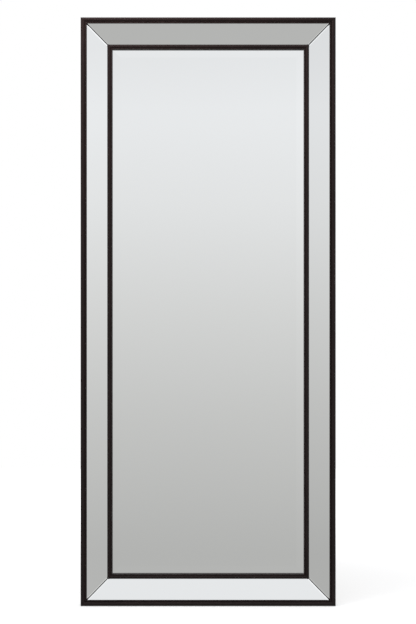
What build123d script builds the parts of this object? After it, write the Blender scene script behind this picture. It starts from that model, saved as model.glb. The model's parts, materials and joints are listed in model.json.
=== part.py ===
# Full-length wall mirror: four mitred wooden mouldings carry a border of sloping mirror strips
# and, behind an inner fillet, one large bevelled plate.
#
# Millimetres. +Z is up, +X is to the right of someone who looks into the mirror, and the glass
# faces -Y. Y = 0 is the flat rear of the wooden frame, Z = 0 its bottom edge, X = 0 its middle.
#
# One side is drawn lying along X like the bottom rail. In its section, u runs from the outer
# edge towards the glass (+Z there) and v runs forward from the rear plane (-Y). The same side,
# made longer or shorter, is then turned about Y into the other three places.

from build123d import *
from math import asin, ceil, cos, degrees, radians, sin, sqrt
import os

# Overall size
overall_width = 780.0
overall_height = 1800.0
rail_depth = 40.0

# Front widths of one side, from the outer edge to the glass
outer_trim_width = 18.5
groove_opening = 63.5
inner_trim_width = 13.5

# Outer trim: one large round bead, a quirk, one small bead
outer_bead_width = 13.5
outer_bead_rise = 6.5
outer_quirk_drop = 4.2
outer_quirk_width = 0.8
outer_small_bead_rise = 1.8
outer_trim_lip = 0.4

# Inner trim: the same family of shapes, lower
inner_bead_width = 9.4
inner_bead_rise = 3.6
inner_quirk_drop = 3.0
inner_quirk_width = 0.9
inner_small_bead_rise = 0.8
sight_edge_drop = 1.4

# Groove for the mirror strips: its floor falls towards the glass, its walls are square to it
groove_slope = 14.0
groove_depth_outer = 6.9
strip_glass = 4.0
strip_tape = 1.0
strip_set_down = 1.6
strip_side_clearance = 0.5
strip_seam = 2.2
edge_arris_width = 0.6
edge_arris_depth = 0.4
mitre_arris_width = 3.0
mitre_arris_depth = 1.2

# Tape under the strips
tape_width = 12.0
tape_edge_inset = 9.0
tape_end_inset = 8.0

# Centre plate
plate_thickness = 5.0
plate_bevel_width = 30.0
plate_edge_thickness = 2.5
plate_cover = 6.0
plate_lip_clearance = 0.2
plate_packing = 2.0

# Backing: a corrugated card sheet behind the plate, then the hardboard panel
card_thickness = 2.0
card_inset = 1.0
board_thickness = 3.0
board_recess = 5.0
board_rim = 18.0
board_clearance = 1.0

# Packers round the plate
packer_length = 40.0
packer_height = 4.0
packer_end_distance = 160.0

# Framing points: flat steel points driven into the board's rebate, flat on the board
point_steel = 0.6
point_width = 9.0
point_length = 16.0
point_driven = 8.0
point_tip = 3.5
point_end_distance = 100.0
point_pitch = 200.0

# V-nails across the mitres
v_nail_steel = 0.8
v_nail_arm = 6.0
v_nail_height = 12.0
v_nail_set_below = 0.6
v_nail_places = (20.0, 58.0)

# Strap hangers and their wire rings
hanger_drop = 450.0
hanger_inset = 36.0
wire_radius = 1.5
knuckle_clearance = 0.08
knuckle_slit = 0.3
strap_steel = 1.2
strap_width = 15.0
strap_length = 48.0
strap_shoulder = 9.0
knuckle_width = 11.0
ring_half_width = 9.0
ring_reach = 14.0
ring_foot_radius = 4.5
ring_foot_clearance = 0.35

# Hanger screws, with a cross recess
hanger_screw_radius = 2.0
hanger_screw_length = 20.0
hanger_screw_head_radius = 3.9
hanger_screw_head_height = 2.4
hanger_screw_drops = (24.0, 40.0)
strap_hole_clearance = 0.25
pilot_clearance = 0.05
pilot_run_out = 1.0
recess_width = 0.95
recess_length = 4.3
recess_depth = 1.4

# Wall bumpers
bumper_radius = 7.5
bumper_height = 6.0
bumper_chamfer = 1.2
bumper_inset = 36.0
bumper_end_distance = 110.0

# Levels and lines of the section that follow from the sizes above
slope = radians(groove_slope)
groove_edge_outer = outer_trim_width
groove_edge_inner = outer_trim_width + groove_opening
sight_line = groove_edge_inner + inner_trim_width
board_front = board_recess + board_thickness
plate_back = board_front + card_thickness
plate_edge = sight_line - plate_cover
plate_wall = plate_edge - plate_packing
plate_bevel_rise = plate_thickness - plate_edge_thickness
bevel_rise_at_sight = plate_bevel_rise * plate_cover / plate_bevel_width
lip_back = plate_back + plate_edge_thickness + bevel_rise_at_sight + plate_lip_clearance
board_wall = plate_wall - board_rim
board_edge = board_wall + board_clearance


def on_arc(start, crest, end_rise):
    """The point past the crest of a bead, end_rise under it, on the circle of its start and crest."""
    half = crest[0] - start[0]
    rise = crest[1] - start[1]
    radius = (half * half + rise * rise) / (2 * rise)
    below = radius - end_rise
    return (crest[0] + sqrt(radius * radius - below * below), crest[1] - end_rise)


# Corners of the section, as (u, v)
outer_bead_start = (0.0, rail_depth - outer_bead_rise)
outer_bead_crest = (outer_bead_width / 2, rail_depth)
outer_bead_end = on_arc(outer_bead_start, outer_bead_crest, outer_quirk_drop)
outer_quirk_end = (outer_bead_end[0] + outer_quirk_width, outer_bead_end[1])
outer_lip = (groove_edge_outer, outer_quirk_end[1] + outer_trim_lip)
outer_small_crest = (
    (outer_quirk_end[0] + groove_edge_outer) / 2,
    outer_quirk_end[1] + outer_small_bead_rise,
)
groove_outer_corner = (
    outer_lip[0] - groove_depth_outer * sin(slope),
    outer_lip[1] - groove_depth_outer * cos(slope),
)
groove_depth_inner = strip_tape + strip_glass + strip_set_down
groove_floor = (
    groove_edge_inner - groove_outer_corner[0] - groove_depth_inner * sin(slope)
) / cos(slope)
groove_inner_corner = (
    groove_outer_corner[0] + groove_floor * cos(slope),
    groove_outer_corner[1] - groove_floor * sin(slope),
)
inner_bead_start = (
    groove_edge_inner,
    groove_inner_corner[1] + groove_depth_inner * cos(slope),
)
inner_bead_crest = (groove_edge_inner + inner_bead_width / 2, inner_bead_start[1] + inner_bead_rise)
inner_bead_end = on_arc(inner_bead_start, inner_bead_crest, inner_quirk_drop)
inner_quirk_end = (inner_bead_end[0] + inner_quirk_width, inner_bead_end[1])
sight_edge = (sight_line, inner_quirk_end[1] - sight_edge_drop)
inner_small_crest = (
    (inner_quirk_end[0] + sight_line) / 2,
    inner_quirk_end[1] + inner_small_bead_rise,
)


def section_point(point, x=0.0):
    """A (u, v) point of the section as a place in space."""
    return Vector(x, -point[1], point[0])


def moulding_section():
    """The whole section of the moulding, in the plane X = 0."""
    rear = [(board_wall, 0.0), (0.0, 0.0), outer_bead_start]
    groove = [outer_lip, groove_outer_corner, groove_inner_corner, inner_bead_start]
    rebates = [
        sight_edge,
        (sight_line, lip_back),
        (plate_wall, lip_back),
        (plate_wall, board_front),
        (board_wall, board_front),
        (board_wall, 0.0),
    ]
    edges = [
        Polyline(*[section_point(p) for p in rear]),
        ThreePointArc(*[section_point(p) for p in (outer_bead_start, outer_bead_crest, outer_bead_end)]),
        Line(section_point(outer_bead_end), section_point(outer_quirk_end)),
        ThreePointArc(*[section_point(p) for p in (outer_quirk_end, outer_small_crest, outer_lip)]),
        Polyline(*[section_point(p) for p in groove]),
        ThreePointArc(*[section_point(p) for p in (inner_bead_start, inner_bead_crest, inner_bead_end)]),
        Line(section_point(inner_bead_end), section_point(inner_quirk_end)),
        ThreePointArc(*[section_point(p) for p in (inner_quirk_end, inner_small_crest, sight_edge)]),
        Polyline(*[section_point(p) for p in rebates]),
    ]
    return make_face(edges)


def mitred_moulding(length):
    """One side of the frame along X, its outer edge on Z = 0, both ends cut at 45 degrees."""
    half = length / 2
    bar = extrude(moulding_section(), amount=half, dir=(1, 0, 0), both=True)
    for end in (-1, 1):
        cut = Plane(origin=(end * half, 0, 0), z_dir=(end, 0, 1))
        bar = split(bar, bisect_by=cut, keep=Keep.BOTTOM)
    return bar


def groove_plane(height, along=0.0):
    """A plane parallel to the groove's floor, height above it, with Y down the slope."""
    u = groove_outer_corner[0] + height * sin(slope) + along * cos(slope)
    v = groove_outer_corner[1] + height * cos(slope) - along * sin(slope)
    return Plane(origin=section_point((u, v)), x_dir=(1, 0, 0), z_dir=(0, -cos(slope), sin(slope)))


def border_strip(length):
    """A mirror strip: a trapezium of glass with small arrises along it and wide ones at its mitres."""
    top = strip_tape + strip_glass
    plane = groove_plane(top)
    outwards = Axis(plane.origin, plane.z_dir)

    def half_length(down_slope):
        u = groove_outer_corner[0] + top * sin(slope) + down_slope * cos(slope)
        return length / 2 - u - strip_seam / sqrt(2)

    low = strip_side_clearance
    high = groove_floor - strip_side_clearance
    outline = [
        (-half_length(low), low),
        (half_length(low), low),
        (half_length(high), high),
        (-half_length(high), high),
    ]
    face = plane * make_face(Polyline(*outline, close=True))
    glass = extrude(face, amount=-strip_glass, dir=plane.z_dir)
    front = glass.faces().sort_by(outwards)[-1]
    mitres = front.edges().filter_by(Axis.X, reverse=True)
    glass = chamfer(mitres, mitre_arris_width, mitre_arris_depth, reference=front)
    front = glass.faces().sort_by(outwards)[-1]
    long_edges = front.edges().filter_by(Axis.X)
    return chamfer(long_edges, edge_arris_width, edge_arris_depth, reference=front)


def tape_runs(length):
    """Two runs of foam tape on the groove's floor."""
    runs = []
    first = tape_edge_inset
    last = groove_floor - tape_edge_inset - tape_width
    for start in (first, last):
        end_u = groove_outer_corner[0] + (start + tape_width) * cos(slope)
        run_length = length - 2 * (end_u + tape_end_inset)
        plane = groove_plane(0.0, start + tape_width / 2)
        run = plane * Box(run_length, tape_width, strip_tape, align=(Align.CENTER, Align.CENTER, Align.MIN))
        runs.append(run)
    return runs


def side_positions(length, end_distance, pitch):
    """Even places along a side, the first and last end_distance from its ends."""
    span = length - 2 * end_distance
    steps = max(1, ceil(span / pitch))
    return [-span / 2 + span * step / steps for step in range(steps + 1)]


def hanger_screw():
    """A screw whose head sits on Z = 0 with its shank down -Z, and the cross recess of the head."""
    profile = [
        (0, hanger_screw_head_height),
        (hanger_screw_head_radius, hanger_screw_head_height),
        (hanger_screw_head_radius, 0),
        (hanger_screw_radius, 0),
        (hanger_screw_radius, -hanger_screw_length),
        (0, -hanger_screw_length),
    ]
    turned = revolve(Plane.XZ * make_face(Polyline(*profile, close=True)), Axis.Z)
    from_top = (Align.CENTER, Align.CENTER, Align.MAX)
    recess = Box(recess_length, recess_width, recess_depth, align=from_top)
    recess += Box(recess_width, recess_length, recess_depth, align=from_top)
    return turned - Pos(0, 0, hanger_screw_head_height) * recess


def facing_back(x, y, z):
    """A place on a rear face: local +Z points backwards (+Y), local +Y points down."""
    return Location(Plane(origin=(x, y, z), x_dir=(1, 0, 0), z_dir=(0, 1, 0)))


# Where each side goes: its name, its length and the turn that takes it there
sides = {
    "top": (overall_width, Pos(0, 0, overall_height) * Rot(0, 180, 0)),
    "bottom": (overall_width, Location()),
    "left": (overall_height, Pos(-overall_width / 2, 0, overall_height / 2) * Rot(0, 90, 0)),
    "right": (overall_height, Pos(overall_width / 2, 0, overall_height / 2) * Rot(0, -90, 0)),
}
side_nodes = {"top": "rail_top", "bottom": "rail_bottom", "left": "stile_left", "right": "stile_right"}


def v_nails(start_depth, height):
    """The bent steel prisms across the four mitres, apex outwards, from start_depth forwards."""
    outline = [
        (0, 0),
        (v_nail_arm, 0),
        (v_nail_arm, v_nail_steel),
        (v_nail_steel, v_nail_steel),
        (v_nail_steel, v_nail_arm),
        (0, v_nail_arm),
    ]
    nails = []
    for side_x in (-1, 1):
        for edge_z, side_z in ((0, 1), (overall_height, -1)):
            for place in v_nail_places:
                apex = Vector(side_x * (overall_width / 2 - place), -start_depth, edge_z + side_z * place)
                corners = [apex + Vector(-side_x * a, 0, side_z * b) for a, b in outline]
                face = make_face(Polyline(*corners, close=True))
                nails.append(extrude(face, amount=height, dir=(0, -1, 0)))
    return nails


def framing_points():
    """The flat points round the board: half in the wood of the rebate's wall, half over the board."""
    tip = board_wall - point_driven
    half = point_width / 2
    outline = [
        (0, tip),
        (half, tip + point_tip),
        (half, tip + point_length),
        (-half, tip + point_length),
        (-half, tip + point_tip),
    ]
    points = []
    for length, turn in sides.values():
        for x in side_positions(length, point_end_distance, point_pitch):
            corners = [(x + along, -board_recess, u) for along, u in outline]
            face = make_face(Polyline(*corners, close=True))
            points.append(turn * extrude(face, amount=point_steel, dir=(0, 1, 0)))
    return points


def hanger_places():
    """The pivots of the two rings, left then right."""
    pivot_depth = wire_radius + knuckle_clearance + strap_steel
    reach = overall_width / 2 - hanger_inset
    level = overall_height - hanger_drop
    return {"left": (-reach, pivot_depth, level), "right": (reach, pivot_depth, level)}


def hanger_screw_seats():
    """The rear face of each strap at its screws."""
    seats = []
    for x, _, z in hanger_places().values():
        for drop in hanger_screw_drops:
            seats.append(facing_back(x, strap_steel, z - drop))
    return seats


def pilot_hole(seat):
    """The hole that a hanger screw makes in the wood under its strap."""
    depth = hanger_screw_length - strap_steel + pilot_run_out
    hole = Cylinder(
        hanger_screw_radius + pilot_clearance,
        depth,
        align=(Align.CENTER, Align.CENTER, Align.MAX),
    )
    return seat * Pos(0, 0, -strap_steel) * hole


def hanger_strap():
    """The steel strap with its rolled knuckle; the pivot is the X axis and the wood is behind it."""
    barrel_radius = wire_radius + knuckle_clearance + strap_steel
    bore_radius = wire_radius + knuckle_clearance
    half = strap_width / 2
    neck = knuckle_width / 2
    foot = half - strap_length
    outline = [
        Line((neck, 0), (-neck, 0)),
        Polyline((-neck, 0), (-neck, -barrel_radius), (-half, -strap_shoulder), (-half, foot)),
        ThreePointArc((-half, foot), (0, -strap_length), (half, foot)),
        Polyline((half, foot), (half, -strap_shoulder), (neck, -barrel_radius), (neck, 0)),
    ]
    on_wood = Plane(origin=(0, -barrel_radius, 0), x_dir=(1, 0, 0), z_dir=(0, -1, 0))
    plate = extrude(on_wood * make_face(outline), amount=strap_steel, dir=(0, 1, 0))
    barrel = Rot(0, 90, 0) * (Cylinder(barrel_radius, knuckle_width) - Cylinder(bore_radius, knuckle_width))
    slit = Pos(0, -bore_radius, -bore_radius) * Box(
        knuckle_width,
        knuckle_slit,
        barrel_radius * 2,
        align=(Align.CENTER, Align.MIN, Align.MAX),
    )
    hole = Rot(90, 0, 0) * Cylinder(hanger_screw_radius + strap_hole_clearance, 4 * barrel_radius)
    strap = plate + (barrel - slit)
    return strap - [Pos(0, 0, -drop) * hole for drop in hanger_screw_drops]


def hanger_ring():
    """The wire ring that hangs from its straight bar on the X axis, in the plane Y = 0."""
    wire = Circle(wire_radius)
    leg_end = ring_foot_radius - ring_reach
    bridge = Polyline(
        (-ring_half_width, 0, leg_end),
        (-ring_half_width, 0, 0),
        (ring_half_width, 0, 0),
        (ring_half_width, 0, leg_end),
    )
    leg_start = Plane(origin=(-ring_half_width, 0, leg_end), z_dir=(0, 0, 1))
    ring = sweep(leg_start * wire, path=bridge, transition=Transition.RIGHT)
    for side in (-1, 1):
        corner_start = Plane(origin=(side * ring_half_width, 0, leg_end), z_dir=(0, 0, -1))
        turn = Axis((side * (ring_half_width - ring_foot_radius), 0, leg_end), (0, side, 0))
        ring += revolve(corner_start * wire, turn, 90)
    foot = Plane(origin=(0, 0, -ring_reach), z_dir=(1, 0, 0))
    return ring + extrude(foot * wire, amount=ring_half_width - ring_foot_radius, both=True)


def bumper_seats():
    """The rear of the frame near its four corners."""
    reach = overall_width / 2 - bumper_inset
    levels = (overall_height - bumper_end_distance, bumper_end_distance)
    return [facing_back(x, 0, z) for z in levels for x in (-reach, reach)]


def wall_bumper():
    """A rubber bumper on Z = 0, its wall face up, the rim chamfered."""
    rim = bumper_height - bumper_chamfer
    profile = [
        (0, 0),
        (bumper_radius, 0),
        (bumper_radius, rim),
        (bumper_radius - bumper_chamfer, bumper_height),
        (0, bumper_height),
    ]
    return revolve(Plane.XZ * make_face(Polyline(*profile, close=True)), Axis.Z)


def centre_plate():
    """The bevelled plate: a thin edge, then a wide flat bevel up to the full thickness."""
    width = overall_width - 2 * plate_edge
    height = overall_height - 2 * plate_edge
    middle = overall_height / 2

    def sheet(level, inset):
        plane = Plane(origin=(0, -level, middle), x_dir=(1, 0, 0), z_dir=(0, -1, 0))
        return plane * Rectangle(width - 2 * inset, height - 2 * inset)

    body = extrude(sheet(plate_back, 0), amount=plate_edge_thickness, dir=(0, -1, 0))
    bevel_foot = sheet(plate_back + plate_edge_thickness, 0)
    bevel_head = sheet(plate_back + plate_thickness, plate_bevel_width)
    return body + loft([bevel_foot, bevel_head], ruled=True)


def flat_sheet(edge, back, thickness):
    """A plain sheet whose edges lie edge inside the outline of the frame."""
    plane = Plane(origin=(0, -back, overall_height / 2), x_dir=(1, 0, 0), z_dir=(0, -1, 0))
    face = plane * Rectangle(overall_width - 2 * edge, overall_height - 2 * edge)
    return extrude(face, amount=thickness, dir=(0, -1, 0))


def plate_packers():
    """Rubber packers between the edge of the plate and the wall of its rebate, two a side."""
    packers = []
    for length, turn in sides.values():
        for end in (-1, 1):
            corner = (end * (length / 2 - packer_end_distance), -board_front, plate_wall)
            packer = Box(
                packer_length,
                packer_height,
                plate_packing,
                align=(Align.CENTER, Align.MAX, Align.MIN),
            )
            packers.append(turn * Pos(*corner) * packer)
    return packers


def frame_sides():
    """The four mouldings in place, with what the nails, points and screws open in the wood."""
    cuts = v_nails(0.0, v_nail_set_below + v_nail_height) + framing_points()
    cuts += [pilot_hole(seat) for seat in hanger_screw_seats()]
    mouldings = {}
    for name, (length, turn) in sides.items():
        mouldings[side_nodes[name]] = turn * mitred_moulding(length) - cuts
    return mouldings


def all_nodes():
    """Every node by its name, each a list of solids."""
    nodes = {name: [moulding] for name, moulding in frame_sides().items()}
    for name, (length, turn) in sides.items():
        nodes[f"border_mirror_{name}"] = [turn * border_strip(length)]
        nodes[f"border_tape_{name}"] = [turn * run for run in tape_runs(length)]
    nodes["centre_mirror"] = [centre_plate()]
    nodes["plate_packers"] = plate_packers()
    nodes["backing_card"] = [flat_sheet(plate_edge + card_inset, board_front, card_thickness)]
    nodes["backing_board"] = [flat_sheet(board_edge, board_recess, board_thickness)]
    nodes["framing_points"] = framing_points()
    nodes["corner_v_nails"] = v_nails(v_nail_set_below, v_nail_height)
    strap = hanger_strap()
    ring = hanger_ring()
    lean = degrees(asin((ring_foot_clearance - knuckle_clearance) / ring_reach))
    for name, pivot in hanger_places().items():
        nodes[f"hanger_strap_{name}"] = [Pos(*pivot) * strap]
        nodes[f"hanger_ring_{name}"] = [Pos(*pivot) * Rot(lean, 0, 0) * ring]
    nodes["hanger_screws"] = [seat * hanger_screw() for seat in hanger_screw_seats()]
    nodes["wall_bumpers"] = [seat * wall_bumper() for seat in bumper_seats()]
    return nodes


os.makedirs("parts", exist_ok=True)
for node, pieces in all_nodes().items():
    export_step(Compound(pieces), f"parts/{node}.step")
    print(node, len(pieces))
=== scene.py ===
# %% [markdown]
# A full-length wall mirror. Four dark wooden mouldings are mitred into a tall frame. Each carries a
# strip of mirror on a bed that slopes down towards the middle, and behind an inner bead lies one
# large bevelled plate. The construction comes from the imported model; this lesson gives it its finish.
# Everything is in metres: X to the right, Z up, and the glass faces -Y.

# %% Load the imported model
import json
from math import cos, pi, radians, sin

import bmesh
import bpy
from mathutils import Matrix, Vector


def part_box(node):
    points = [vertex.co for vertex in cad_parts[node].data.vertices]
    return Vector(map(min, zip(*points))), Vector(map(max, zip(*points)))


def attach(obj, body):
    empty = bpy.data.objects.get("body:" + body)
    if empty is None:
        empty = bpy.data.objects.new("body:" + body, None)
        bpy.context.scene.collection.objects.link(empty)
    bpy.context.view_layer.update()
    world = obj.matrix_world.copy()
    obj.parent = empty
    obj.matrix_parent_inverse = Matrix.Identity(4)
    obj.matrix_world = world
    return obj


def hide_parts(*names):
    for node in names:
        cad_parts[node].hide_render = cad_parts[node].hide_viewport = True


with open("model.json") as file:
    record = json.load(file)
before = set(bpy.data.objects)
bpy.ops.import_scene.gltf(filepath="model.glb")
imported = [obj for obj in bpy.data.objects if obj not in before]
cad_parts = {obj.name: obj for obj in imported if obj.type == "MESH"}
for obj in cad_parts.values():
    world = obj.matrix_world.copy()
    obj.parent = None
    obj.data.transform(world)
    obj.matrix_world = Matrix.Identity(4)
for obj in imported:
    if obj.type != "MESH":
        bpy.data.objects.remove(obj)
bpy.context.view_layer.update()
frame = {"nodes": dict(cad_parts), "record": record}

node = frame["nodes"]
mirror_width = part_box("rail_bottom")[1].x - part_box("rail_bottom")[0].x
mirror_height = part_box("stile_left")[1].z
front_depth = -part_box("rail_bottom")[0].y
print(f"frame {mirror_width:.3f} wide, {mirror_height:.3f} high, {front_depth:.3f} deep")
print(len(node), "nodes in the packed model")

# %% [markdown]
# The picture is taken square on, from the middle of the mirror's height. A long distance keeps the
# two long sides parallel, and the little perspective that is left shows the inner walls of the
# beads. It stands a hair to the left of the middle and below it, where the edges fit best. The lens
# follows from the distance: the picture's long side covers picture_height at the plane where the
# outline of the frame lies.

# %% Camera
picture_height = 1.908
outline_depth = 0.0335
camera_distance = 4.6
camera_side = -0.0005
camera_level = mirror_height / 2 - 0.0009
camera_data = bpy.data.cameras.new("camera")
camera_data.sensor_width = 36.0
camera_data.lens = camera_data.sensor_width * camera_distance / picture_height
camera = bpy.data.objects.new("camera", camera_data)
camera.location = (camera_side, -outline_depth - camera_distance, camera_level)
camera.rotation_euler = (pi / 2, 0.0, 0.0)
bpy.context.scene.collection.objects.link(camera)
bpy.context.scene.camera = camera
bpy.context.scene.view_settings.view_transform = "Standard"
print(f"lens {camera_data.lens:.1f} mm at {camera_distance} m")

# %% [markdown]
# Node trees get long, so three small helpers keep the recipes readable: one adds a node and sets or
# joins its inputs, one does a piece of arithmetic, and one makes a colour ramp from a list of stops.


# %% Helpers for node trees
def add(tree, kind, inputs=None, **settings):
    made = tree.nodes.new(kind)
    for name, value in settings.items():
        setattr(made, name, value)
    for name, value in (inputs or {}).items():
        if isinstance(value, bpy.types.NodeSocket):
            tree.links.new(value, made.inputs[name])
        else:
            made.inputs[name].default_value = value
    return made


def reckon(tree, operation, a, b=0.0, clamp=False):
    return add(tree, "ShaderNodeMath", {0: a, 1: b}, operation=operation, use_clamp=clamp).outputs[0]


def ramp(tree, factor, stops, interpolation="LINEAR"):
    made = add(tree, "ShaderNodeValToRGB", {"Fac": factor})
    made.color_ramp.interpolation = interpolation
    elements = made.color_ramp.elements
    while len(elements) < len(stops):
        elements.new(1.0)
    for element, (place, colour) in zip(elements, stops):
        element.position = place
        element.color = (*colour, 1.0)
    return made.outputs["Color"]


# %% [markdown]
# A mirror shows the room, so the room is most of its look. Here the room is a soft grey studio: dim
# below, light at eye level and lighter overhead, with a little more light far out to the sides, where
# only the narrow arrises of the strips point. The eye itself sees plain white behind the object.

# %% The studio round the mirror
world = bpy.data.worlds.new("studio")
bpy.context.scene.world = world
world.use_nodes = True
studio = world.node_tree
studio.nodes.clear()
direction = add(studio, "ShaderNodeTexCoord").outputs["Generated"]
towards = add(studio, "ShaderNodeSeparateXYZ", {0: direction}).outputs
elevation = reckon(studio, "ARCSINE", towards["Z"])
height_share = reckon(studio, "ADD", reckon(studio, "DIVIDE", elevation, pi), 0.5)
studio_levels = [
    (-90, 0.60, 0.0),
    (-40, 0.52, 0.0),
    (-20, 0.460, 0.0),
    (-9, 0.454, 0.0),
    (-4, 0.555, 0.1),
    (0, 0.655, 0.3),
    (4, 0.765, 0.7),
    (7.5, 0.825, 1.0),
    (10, 0.785, 1.0),
    (18, 0.805, 1.0),
    (30, 0.87, 1.0),
    (50, 0.97, 1.0),
    (90, 1.20, 1.0),
]
warm = Vector((1.0, 1.0, 0.985))
cool = Vector((0.99, 1.0, 1.02))
studio_stops = [
    ((level + 90) / 180, warm.lerp(cool, coolness) * light)
    for level, light, coolness in studio_levels
]
brightest = max(light for level, light, coolness in studio_levels)
glow = ramp(studio, height_share, [(p, c / brightest) for p, c in studio_stops])
sideways = reckon(studio, "ABSOLUTE", towards["X"])
plain_side = 0.70
side_levels = [(0.0, 0.700), (0.30, 0.705), (0.45, 0.668), (0.62, 0.74), (0.85, 0.86), (1.0, 0.9)]
side_light = ramp(studio, sideways, [(place, (level,) * 3) for place, level in side_levels])
lean_to_right = 0.10
lopsided = reckon(studio, "ADD", reckon(studio, "MULTIPLY", towards["X"], lean_to_right), 1.0)
side_gain = reckon(studio, "MULTIPLY", side_light, lopsided)
studio_gain = 1.066
strength = reckon(studio, "MULTIPLY", side_gain, studio_gain * brightest / plain_side)
room = add(studio, "ShaderNodeBackground", {"Color": glow, "Strength": strength})
plain_white = add(studio, "ShaderNodeBackground", {"Color": (1, 1, 1, 1), "Strength": 1.0})
seen_directly = add(studio, "ShaderNodeLightPath").outputs["Is Camera Ray"]
shown = add(
    studio,
    "ShaderNodeMixShader",
    {0: seen_directly, 1: room.outputs[0], 2: plain_white.outputs[0]},
)
add(studio, "ShaderNodeOutputWorld", {"Surface": shown.outputs[0]})
print(len(studio_levels), "levels of studio light, the brightest", brightest)

# %% [markdown]
# One wide lamp overhead and in front models the round beads: their upper flanks catch it and the
# lower rail stays darker, as in the photograph. A small one close to the top edge lifts the upper
# rail and the tops of the stiles. A third behind lights the back for the views from there. All are
# hidden from reflections, so that the glass shows only the studio.


# %% Lamps
def soft_lamp(name, place, target, width, power):
    lamp_data = bpy.data.lights.new(name, "AREA")
    lamp_data.shape = "SQUARE"
    lamp_data.size = width
    lamp_data.energy = power
    lamp = bpy.data.objects.new(name, lamp_data)
    lamp.location = place
    lamp.rotation_euler = (Vector(target) - Vector(place)).to_track_quat("-Z", "Y").to_euler()
    lamp.visible_glossy = False
    lamp.visible_camera = False
    bpy.context.scene.collection.objects.link(lamp)


middle = (0.0, 0.0, mirror_height / 2)
upper_edge = (0.0, 0.0, mirror_height)
lamps = [
    ("lamp_above", (-0.3, -1.1, 3.5), middle, 1.8, 72.0),
    ("lamp_near_top", (-0.45, -0.6, 2.25), upper_edge, 0.7, 22.0),
    ("lamp_behind", (1.2, 3.0, 2.8), middle, 2.0, 60.0),
]
for name, place, target, width, power in lamps:
    soft_lamp(name, place, target, width, power)
    print(f"{name} is {width} m wide and gives {power:.0f} W")

# %% [markdown]
# The floor is a plain pale sheet. Seen directly it is lit mostly from itself, so it runs into the
# white background and still keeps a soft shadow under the frame. Its own light grows away from the
# middle, where the lamps reach less, so that its far edge doesn't show. The glass doesn't see the
# sheet: reflected rays pass through to the studio, because a mirror on a wall shows a room and not
# a sheet of paper.

# %% Floor
floor_half = 4.0
floor_level = -0.0005
pale = (0.80, 0.80, 0.80, 1)
in_shadow = (0.30, 0.30, 0.30, 1)
glow_starts, glow_ends = 0.7, 2.2
near_glow, far_glow = 0.54, 0.86
floor_mesh = bpy.data.meshes.new("floor")
sheet = bmesh.new()
bmesh.ops.create_grid(sheet, x_segments=8, y_segments=8, size=floor_half)
sheet.to_mesh(floor_mesh)
sheet.free()
floor = bpy.data.objects.new("floor", floor_mesh)
floor.location.z = floor_level
bpy.context.scene.collection.objects.link(floor)
paper = bpy.data.materials.new("floor_paper")
paper.use_nodes = True
paper_tree = paper.node_tree
paper_tree.nodes.clear()
ray = add(paper_tree, "ShaderNodeLightPath").outputs
lit_by_lamps = add(paper_tree, "ShaderNodeBsdfDiffuse", {"Color": pale})
dim = add(paper_tree, "ShaderNodeBsdfDiffuse", {"Color": in_shadow})
on_floor = add(paper_tree, "ShaderNodeTexCoord").outputs["Object"]
from_middle = add(paper_tree, "ShaderNodeVectorMath", {0: on_floor}, operation="LENGTH")
own_strength = add(
    paper_tree,
    "ShaderNodeMapRange",
    {
        "Value": from_middle.outputs["Value"],
        "From Min": glow_starts,
        "From Max": glow_ends,
        "To Min": near_glow,
        "To Max": far_glow,
    },
    interpolation_type="SMOOTHSTEP",
).outputs[0]
own_light = add(paper_tree, "ShaderNodeEmission", {"Color": (1, 1, 1, 1), "Strength": own_strength})
seen_floor = add(paper_tree, "ShaderNodeAddShader", {0: dim.outputs[0], 1: own_light.outputs[0]})
by_eye = add(
    paper_tree,
    "ShaderNodeMixShader",
    {0: ray["Is Camera Ray"], 1: lit_by_lamps.outputs[0], 2: seen_floor.outputs[0]},
)
let_through = add(paper_tree, "ShaderNodeBsdfTransparent")
through = reckon(paper_tree, "MAXIMUM", ray["Is Glossy Ray"], ray["Is Transmission Ray"])
laid = add(
    paper_tree,
    "ShaderNodeMixShader",
    {0: through, 1: by_eye.outputs[0], 2: let_through.outputs[0]},
)
add(paper_tree, "ShaderNodeOutputMaterial", {"Surface": laid.outputs[0]})
floor_mesh.materials.append(paper)
print(f"floor {2 * floor_half:.0f} m across")

# %% [markdown]
# Most finishes here share one start: a physical surface whose colour, roughness and small relief come
# from noise that is measured on the object itself. The noise can be stretched along one axis, which
# is how wood grain, rolled steel and drawn wire all get their direction.


# %% Helpers for finishes
def new_finish(name):
    finish = bpy.data.materials.new(name)
    finish.use_nodes = True
    tree = finish.node_tree
    tree.nodes.clear()
    surface = add(tree, "ShaderNodeBsdfPrincipled")
    add(tree, "ShaderNodeOutputMaterial", {"Surface": surface.outputs[0]})
    return finish, tree, surface


def grain(tree, scale, stretch=(1.0, 1.0, 1.0), detail=4.0, distortion=0.0):
    place = add(tree, "ShaderNodeTexCoord").outputs["Object"]
    turned = add(tree, "ShaderNodeMapping", {"Vector": place, "Scale": stretch}).outputs[0]
    noise = add(
        tree,
        "ShaderNodeTexNoise",
        {"Vector": turned, "Scale": scale, "Detail": detail, "Distortion": distortion},
    )
    return noise.outputs[0]


def blend(tree, share, first, second):
    mixed = add(tree, "ShaderNodeMix", {0: share}, data_type="RGBA")
    for socket, value in ((mixed.inputs[6], first), (mixed.inputs[7], second)):
        if isinstance(value, bpy.types.NodeSocket):
            tree.links.new(value, socket)
        else:
            socket.default_value = (*value, 1.0)
    return mixed.outputs[2]


def blend_value(tree, share, first, second):
    mixed = add(tree, "ShaderNodeMix", {0: share, 2: first, 3: second}, data_type="FLOAT")
    return mixed.outputs[0]


def spread(tree, factor, low, high):
    return add(
        tree,
        "ShaderNodeMapRange",
        {"Value": factor, "To Min": low, "To Max": high},
    ).outputs[0]


def relief(tree, surface, height, depth, strength=1.0):
    bump = add(tree, "ShaderNodeBump", {"Height": height, "Distance": depth, "Strength": strength})
    tree.links.new(bump.outputs[0], surface.inputs["Normal"])


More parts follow.
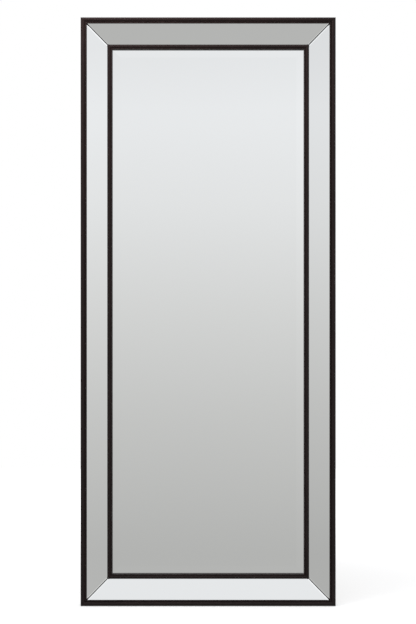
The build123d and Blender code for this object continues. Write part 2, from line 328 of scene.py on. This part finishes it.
def set_surface(tree, surface, colour=None, roughness=None, metallic=None, specular=None):
    values = {
        "Base Color": colour,
        "Roughness": roughness,
        "Metallic": metallic,
        "Specular IOR Level": specular,
    }
    for name, value in values.items():
        if value is None:
            continue
        if isinstance(value, bpy.types.NodeSocket):
            tree.links.new(value, surface.inputs[name])
        elif name == "Base Color":
            surface.inputs[name].default_value = (*value, 1.0)
        else:
            surface.inputs[name].default_value = value


def dress(piece, finish):
    piece.data.materials.clear()
    piece.data.materials.append(finish)


# %% [markdown]
# The mouldings are stained a very dark espresso brown and satin lacquered. The stain sits deeper in
# the soft wood between the pores, so the colour moves a little along the grain, and the grain must
# run the length of each piece and turn the corner at the mitre. The finish stops at the back: there
# the bare wood shows, with a ragged edge of overspray. The stain also turns a little way into the
# rebate behind the glass, so that the mirror doesn't show a pale line of bare wood at its edge.

# %% Espresso wood, one finish for the rails and one for the stiles
rear_zone = -0.0122
overspray = 0.0025
across_grain = 14.0
bare_roughness = 0.35
stain_stops = [(0.30, (0.0054, 0.0029, 0.0027)), (0.62, (0.0090, 0.0048, 0.0045))]
bare_stops = [
    (0.36, (0.33, 0.19, 0.095)),
    (0.47, (0.47, 0.30, 0.16)),
    (0.54, (0.54, 0.37, 0.21)),
    (0.66, (0.60, 0.43, 0.26)),
]


def espresso(name, along):
    finish, tree, surface = new_finish(name)
    stretch = tuple(1.0 if axis == along else across_grain for axis in "XYZ")
    streaks = grain(tree, 9.0, stretch, 6.0, 0.6)
    fine_rings = grain(tree, 34.0, stretch, 5.0, 0.3)
    pores = grain(tree, 60.0, stretch, 3.0)
    stain = ramp(tree, streaks, stain_stops)
    wide_part = reckon(tree, "MULTIPLY", streaks, 0.45)
    fine_part = reckon(tree, "MULTIPLY", fine_rings, 0.55)
    bare = ramp(tree, reckon(tree, "ADD", wide_part, fine_part), bare_stops)
    place = add(tree, "ShaderNodeTexCoord").outputs["Object"]
    at = add(tree, "ShaderNodeSeparateXYZ", {0: place}).outputs
    from_side = reckon(tree, "SUBTRACT", mirror_width / 2, reckon(tree, "ABSOLUTE", at["X"]))
    from_top = reckon(tree, "SUBTRACT", mirror_height, at["Z"])
    from_edge = reckon(tree, "MINIMUM", reckon(tree, "MINIMUM", from_side, from_top), at["Z"])
    ragged = reckon(tree, "MULTIPLY", grain(tree, 90.0, detail=5.0), 2 * overspray)
    inside = reckon(tree, "GREATER_THAN", from_edge, ragged)
    behind = reckon(tree, "GREATER_THAN", at["Y"], rear_zone)
    is_bare = reckon(tree, "MULTIPLY", inside, behind)
    lacquer = spread(tree, pores, 0.33, 0.39)
    roughness = reckon(tree, "ADD", lacquer, reckon(tree, "MULTIPLY", is_bare, bare_roughness))
    set_surface(tree, surface, blend(tree, is_bare, stain, bare), roughness, 0.0, 0.15)
    relief(tree, surface, pores, 0.00010, blend_value(tree, is_bare, 0.10, 0.45))
    return finish


rail_finish = espresso("espresso_rail", "X")
stile_finish = espresso("espresso_stile", "Z")
for name in ("rail_top", "rail_bottom"):
    dress(node[name], rail_finish)
for name in ("stile_left", "stile_right"):
    dress(node[name], stile_finish)
print("four mouldings stained and lacquered")

# %% [markdown]
# Mirror glass is silvered on its back, but its picture forms so cleanly that the front can be treated
# as the metal. A faint green cast is the iron in the glass. The cut edges aren't silvered: they show
# the deep green of the glass seen edge-on, and the back wears grey protective paint.

# %% Silvered glass
facing_share = 0.5
silver_tint = (0.925, 0.935, 0.93)
sides = ("top", "bottom", "left", "right")


def silvered(name, tint):
    finish, tree, surface = new_finish(name)
    normal = add(tree, "ShaderNodeNewGeometry").outputs["True Normal"]
    towards_back = add(tree, "ShaderNodeSeparateXYZ", {0: normal}).outputs["Y"]
    is_front = reckon(tree, "LESS_THAN", towards_back, -facing_share)
    is_back = reckon(tree, "GREATER_THAN", towards_back, facing_share)
    mottle = grain(tree, 120.0, detail=3.0)
    green_edge = ramp(tree, mottle, [(0.3, (0.045, 0.13, 0.095)), (0.7, (0.09, 0.21, 0.16))])
    paint = ramp(tree, mottle, [(0.3, (0.19, 0.20, 0.21)), (0.7, (0.26, 0.27, 0.28))])
    colour = blend(tree, is_back, green_edge, paint)
    colour = blend(tree, is_front, colour, tint)
    haze = spread(tree, grain(tree, 3.0, detail=2.0), 0.006, 0.016)
    rough = blend_value(tree, is_front, spread(tree, mottle, 0.25, 0.55), haze)
    set_surface(tree, surface, colour, rough, is_front, 0.5)
    return finish


strip_finish = silvered("silvered_strip", silver_tint)
plate_finish = silvered("silvered_plate", silver_tint)
for side in sides:
    dress(node[f"border_mirror_{side}"], strip_finish)
dress(node["centre_mirror"], plate_finish)
print("five pieces of glass finished")

# %% [markdown]
# Behind the glass are plain workshop materials. Hardboard is pressed wood fibre: brown, faintly
# felted and a little shiny on its good side. The card, the foam tape and the rubber packers can
# only be seen when the frame is taken apart, and still each has its own surface.


# %% Hardboard, card, foam and rubber
def fibrous(name, dark, light, scale, roughness, depth, stretch=(1.0, 1.0, 1.0)):
    finish, tree, surface = new_finish(name)
    felt = grain(tree, scale, stretch, 8.0, 0.2)
    clouds = grain(tree, scale / 60, detail=4.0)
    felt_part = reckon(tree, "MULTIPLY", felt, 0.7)
    cloud_part = reckon(tree, "MULTIPLY", clouds, 0.3)
    colour = ramp(tree, reckon(tree, "ADD", felt_part, cloud_part), [(0.36, dark), (0.62, light)])
    set_surface(tree, surface, colour, spread(tree, felt, *roughness), 0.0, 0.35)
    relief(tree, surface, felt, depth, 0.6)
    return finish


hardboard = fibrous(
    "hardboard",
    dark=(0.105, 0.054, 0.025),
    light=(0.210, 0.122, 0.060),
    scale=950.0,
    roughness=(0.46, 0.64),
    depth=0.00012,
    stretch=(1, 1, 0.6),
)
card = fibrous(
    "card",
    dark=(0.33, 0.22, 0.12),
    light=(0.50, 0.35, 0.21),
    scale=260.0,
    roughness=(0.75, 0.92),
    depth=0.0001,
    stretch=(1, 1, 0.15),
)
foam = fibrous(
    "foam_tape",
    dark=(0.60, 0.59, 0.55),
    light=(0.80, 0.79, 0.75),
    scale=900.0,
    roughness=(0.80, 0.95),
    depth=0.0003,
)
packer_rubber = fibrous(
    "packer_rubber",
    dark=(0.012, 0.012, 0.012),
    light=(0.035, 0.034, 0.033),
    scale=500.0,
    roughness=(0.6, 0.8),
    depth=0.0001,
)
dress(node["backing_board"], hardboard)
dress(node["backing_card"], card)
dress(node["plate_packers"], packer_rubber)
for side in sides:
    dress(node[f"border_tape_{side}"], foam)
print("board, card, packers and tapes finished")

# %% [markdown]
# The small steel parts are zinc plated or bright. Plating is never even: it has a cloudy spangle and
# fine scratches from the barrel. One recipe serves them all, with its own tone and roughness.


# %% Plated steel
def plated(name, dark, light, roughness):
    finish, tree, surface = new_finish(name)
    spangle = grain(tree, 260.0, detail=5.0, distortion=1.2)
    scratches = grain(tree, 2200.0, (1.0, 1.0, 0.08), 2.0)
    colour = ramp(tree, spangle, [(0.30, dark), (0.70, light)])
    set_surface(tree, surface, colour, spread(tree, spangle, *roughness), 1.0)
    relief(tree, surface, scratches, 0.00003, 0.5)
    return finish


strap_steel = plated("plated_strap", (0.50, 0.49, 0.45), (0.72, 0.71, 0.67), (0.26, 0.42))
ring_steel = plated("plated_wire", (0.52, 0.52, 0.50), (0.74, 0.74, 0.72), (0.22, 0.36))
screw_steel = plated("plated_screw", (0.50, 0.49, 0.46), (0.70, 0.69, 0.66), (0.24, 0.40))
point_steel = plated("point_steel", (0.42, 0.42, 0.42), (0.60, 0.60, 0.60), (0.30, 0.46))
nail_steel = plated("v_nail_steel", (0.40, 0.40, 0.41), (0.58, 0.58, 0.60), (0.30, 0.48))
for side in ("left", "right"):
    dress(node[f"hanger_strap_{side}"], strap_steel)
    dress(node[f"hanger_ring_{side}"], ring_steel)
dress(node["hanger_screws"], screw_steel)
dress(node["framing_points"], point_steel)
dress(node["corner_v_nails"], nail_steel)
print("steel parts plated")

# %% [markdown]
# The bumpers are moulded black rubber, matt and a little dusty.

# %% Bumper rubber
bumper_rubber = fibrous(
    "bumper_rubber",
    dark=(0.010, 0.010, 0.011),
    light=(0.030, 0.030, 0.031),
    scale=700.0,
    roughness=(0.55, 0.75),
    depth=0.0001,
)
dress(node["wall_bumpers"], bumper_rubber)
print("bumper rubber mixed")

# %% [markdown]
# Three small things are drawn finer here than in the construction, because the eye knows their
# shapes so well: the hanger rings, the screws and the bumpers. Each new piece stands in for its node,
# keeps inside its outline, and moves with the same body.


# %% Helpers for the finer pieces
sharp_angle = 35.0


def new_piece(name, work, finish, body, stands_for, sharp=sharp_angle):
    bmesh.ops.recalc_face_normals(work, faces=work.faces)
    mesh = bpy.data.meshes.new(name)
    work.to_mesh(mesh)
    work.free()
    for polygon in mesh.polygons:
        polygon.use_smooth = True
    mesh.set_sharp_from_angle(angle=radians(sharp))
    mesh.materials.append(finish)
    piece = bpy.data.objects.new(name, mesh)
    bpy.context.scene.collection.objects.link(piece)
    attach(piece, body)
    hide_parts(stands_for)
    return piece


def lathe(work, profile, place, turns=64):
    rows = []
    for radius, height in profile:
        angles = [2 * pi * step / turns for step in range(turns)] if radius > 0 else [0.0]
        ring = [place @ Vector((radius * cos(a), radius * sin(a), height)) for a in angles]
        rows.append([work.verts.new(point) for point in ring])
    for low, high in zip(rows, rows[1:]):
        for step in range(turns):
            after = (step + 1) % turns
            corners = (
                low[step % len(low)],
                low[after % len(low)],
                high[after % len(high)],
                high[step % len(high)],
            )
            work.faces.new(list(dict.fromkeys(corners)))


def quarter(centre, radius, first_angle, steps=6):
    angles = [radians(first_angle - 90 * step / steps) for step in range(steps + 1)]
    return [(centre[0] + radius * cos(a), centre[1] + radius * sin(a)) for a in angles]


def facing_back(x, y, z):
    return Matrix.Translation((x, y, z)) @ Matrix.Rotation(-pi / 2, 4, "X")


# %% [markdown]
# A hanger ring is a length of 3 mm wire bent into a closed loop, with two tight shoulders beside the
# knuckle and two wider corners at the foot. The mesh follows the wire: a small circle is carried
# round the path, always square to it, so the bends are as round as bending pins would leave them.

# %% Hanger rings
wire_radius = 0.0015
ring_half_width = 0.009
ring_reach = 0.014
shoulder_radius = 0.0026
foot_radius = 0.0045
ring_lean = radians(1.105)
bend_steps = 10
wire_sides = 24


def ring_path():
    corners = [
        (Vector((-ring_half_width, 0, 0)), shoulder_radius),
        (Vector((ring_half_width, 0, 0)), shoulder_radius),
        (Vector((ring_half_width, 0, -ring_reach)), foot_radius),
        (Vector((-ring_half_width, 0, -ring_reach)), foot_radius),
    ]
    path = []
    for place, (corner, radius) in enumerate(corners):
        back = (corners[place - 1][0] - corner).normalized()
        ahead = (corners[(place + 1) % 4][0] - corner).normalized()
        centre = corner + (back + ahead) * radius
        for step in range(bend_steps + 1):
            turn = pi / 2 * step / bend_steps
            path.append(centre - (ahead * cos(turn) + back * sin(turn)) * radius)
    return path


def wire_loop(work, path, place):
    across = Vector((0, 1, 0))
    rings = []
    for step, point in enumerate(path):
        along = (path[(step + 1) % len(path)] - path[step - 1]).normalized()
        outwards = along.cross(across)
        angles = [2 * pi * side / wire_sides for side in range(wire_sides)]
        ring = [point + (outwards * cos(a) + across * sin(a)) * wire_radius for a in angles]
        rings.append([work.verts.new(place @ corner) for corner in ring])
    for step, ring in enumerate(rings):
        following = rings[(step + 1) % len(rings)]
        for side in range(wire_sides):
            after = (side + 1) % wire_sides
            work.faces.new((ring[side], ring[after], following[after], following[side]))


joints = frame["record"]["behaviour"]["joints"]
pivots = {joint["child"]: Vector(joint["pos_m"]) for joint in joints}
for side in ("left", "right"):
    work = bmesh.new()
    place = Matrix.Translation(pivots[f"{side}_ring"]) @ Matrix.Rotation(ring_lean, 4, "X")
    wire_loop(work, ring_path(), place)
    new_piece(
        f"wire_ring_{side}", work, ring_steel, f"{side}_ring", f"hanger_ring_{side}"
    )
print("rings at", [tuple(round(c, 4) for c in pivot) for pivot in pivots.values()])

# %% [markdown]
# The screws have pan heads: a shallow crown that rolls over into the side, with a cross recess that
# narrows downwards so that the driver centres itself. The body is turned from a profile like the real
# blank, and the recess is then punched into it with a tapered cross.

# %% Hanger screws
head_radius = 0.0039
head_height = 0.0024
head_round = 0.0011
crown = 0.0004
shank_radius = 0.0020
screw_length = 0.020
tip_length = 0.003
under_round = 0.00015
crown_steps = 5
screw_seat = 0.0012
screw_drops = (0.024, 0.040)
cross_top = (0.00215, 0.00048)
cross_bottom = (0.00125, 0.00030)
cross_depth = 0.0014
punch_over = 0.0005


def screw_profile():
    rim = head_height - crown
    flat = head_radius - head_round
    top = [
        (flat * step / crown_steps, head_height - crown * (step / crown_steps) ** 2)
        for step in range(crown_steps)
    ]
    roll = quarter((flat, rim - head_round), head_round, 90)
    shank = [
        (head_radius, under_round),
        (head_radius - under_round, 0),
        (shank_radius, 0),
        (shank_radius, -screw_length + tip_length),
        (0, -screw_length),
    ]
    return top + roll + shank


def cross_loop(work, size, height, place):
    reach, half = size
    quadrant = [(half, half), (half, reach), (-half, reach)]
    points = []
    for turn in range(4):
        spin = Matrix.Rotation(turn * pi / 2, 4, "Z")
        points += [spin @ Vector((x, y, height)) for x, y in quadrant]
    return [work.verts.new(place @ point) for point in points]


def cross_punch(work, place):
    low = cross_loop(work, cross_bottom, head_height - cross_depth, place)
    high = cross_loop(work, cross_top, head_height + punch_over, place)
    work.faces.new(low)
    work.faces.new(high)
    for step in range(len(low)):
        after = (step + 1) % len(low)
        work.faces.new((low[step], low[after], high[after], high[step]))


screw_places = [
    facing_back(pivot.x, screw_seat, pivot.z - drop)
    for pivot in pivots.values()
    for drop in screw_drops
]
work = bmesh.new()
punch = bmesh.new()
for place in screw_places:
    lathe(work, screw_profile(), place)
    cross_punch(punch, place)
bmesh.ops.recalc_face_normals(punch, faces=punch.faces)
punch_mesh = bpy.data.meshes.new("punch")
punch.to_mesh(punch_mesh)
punch.free()
punch_object = bpy.data.objects.new("punch", punch_mesh)
bpy.context.scene.collection.objects.link(punch_object)
screws = new_piece("pan_head_screws", work, screw_steel, "frame", "hanger_screws")
cut = screws.modifiers.new("recess", "BOOLEAN")
cut.operation = "DIFFERENCE"
cut.solver = "EXACT"
cut.object = punch_object
solved = screws.evaluated_get(bpy.context.evaluated_depsgraph_get())
punched = bpy.data.meshes.new_from_object(solved)
screws.modifiers.clear()
screws.data = punched
bpy.data.objects.remove(punch_object)
punched.set_sharp_from_angle(angle=radians(sharp_angle))
print(len(screw_places), "screws of", len(punched.polygons), "faces together")

# %% [markdown]
# The bumpers are small buttons of soft rubber. A moulded button has a rounded rim, a face that is a
# little hollow so that it grips the wall, and a faint ring where the two halves of the mould met.

# %% Wall bumpers
bumper_radius = 0.0075
bumper_sharp = 50.0
bumper_height = 0.006
bumper_round = 0.0014
hollow = 0.0004
dish_share = 0.82
dish_steps = 6
mould_line = 0.0022
mould_bead = 0.00012


def bumper_profile():
    waist = bumper_radius - mould_bead
    flat = bumper_radius - bumper_round
    side = [
        (0, 0),
        (waist, 0),
        (waist, mould_line - mould_bead),
        (bumper_radius, mould_line),
        (waist, mould_line + mould_bead),
    ]
    rim = quarter((flat - mould_bead, bumper_height - bumper_round), bumper_round, 90)[::-1]
    dish = []
    for step in range(1, dish_steps + 1):
        share = step / dish_steps
        dish.append((flat * dish_share * (1 - share), bumper_height - hollow * share**0.5))
    return side + rim + dish


work = bmesh.new()
low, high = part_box("wall_bumpers")
for x in (low.x + bumper_radius, high.x - bumper_radius):
    for z in (low.z + bumper_radius, high.z - bumper_radius):
        lathe(work, bumper_profile(), facing_back(x, 0, z))
new_piece(
    "rubber_bumpers", work, bumper_rubber, "frame", "wall_bumpers", bumper_sharp
)
print("4 bumpers")
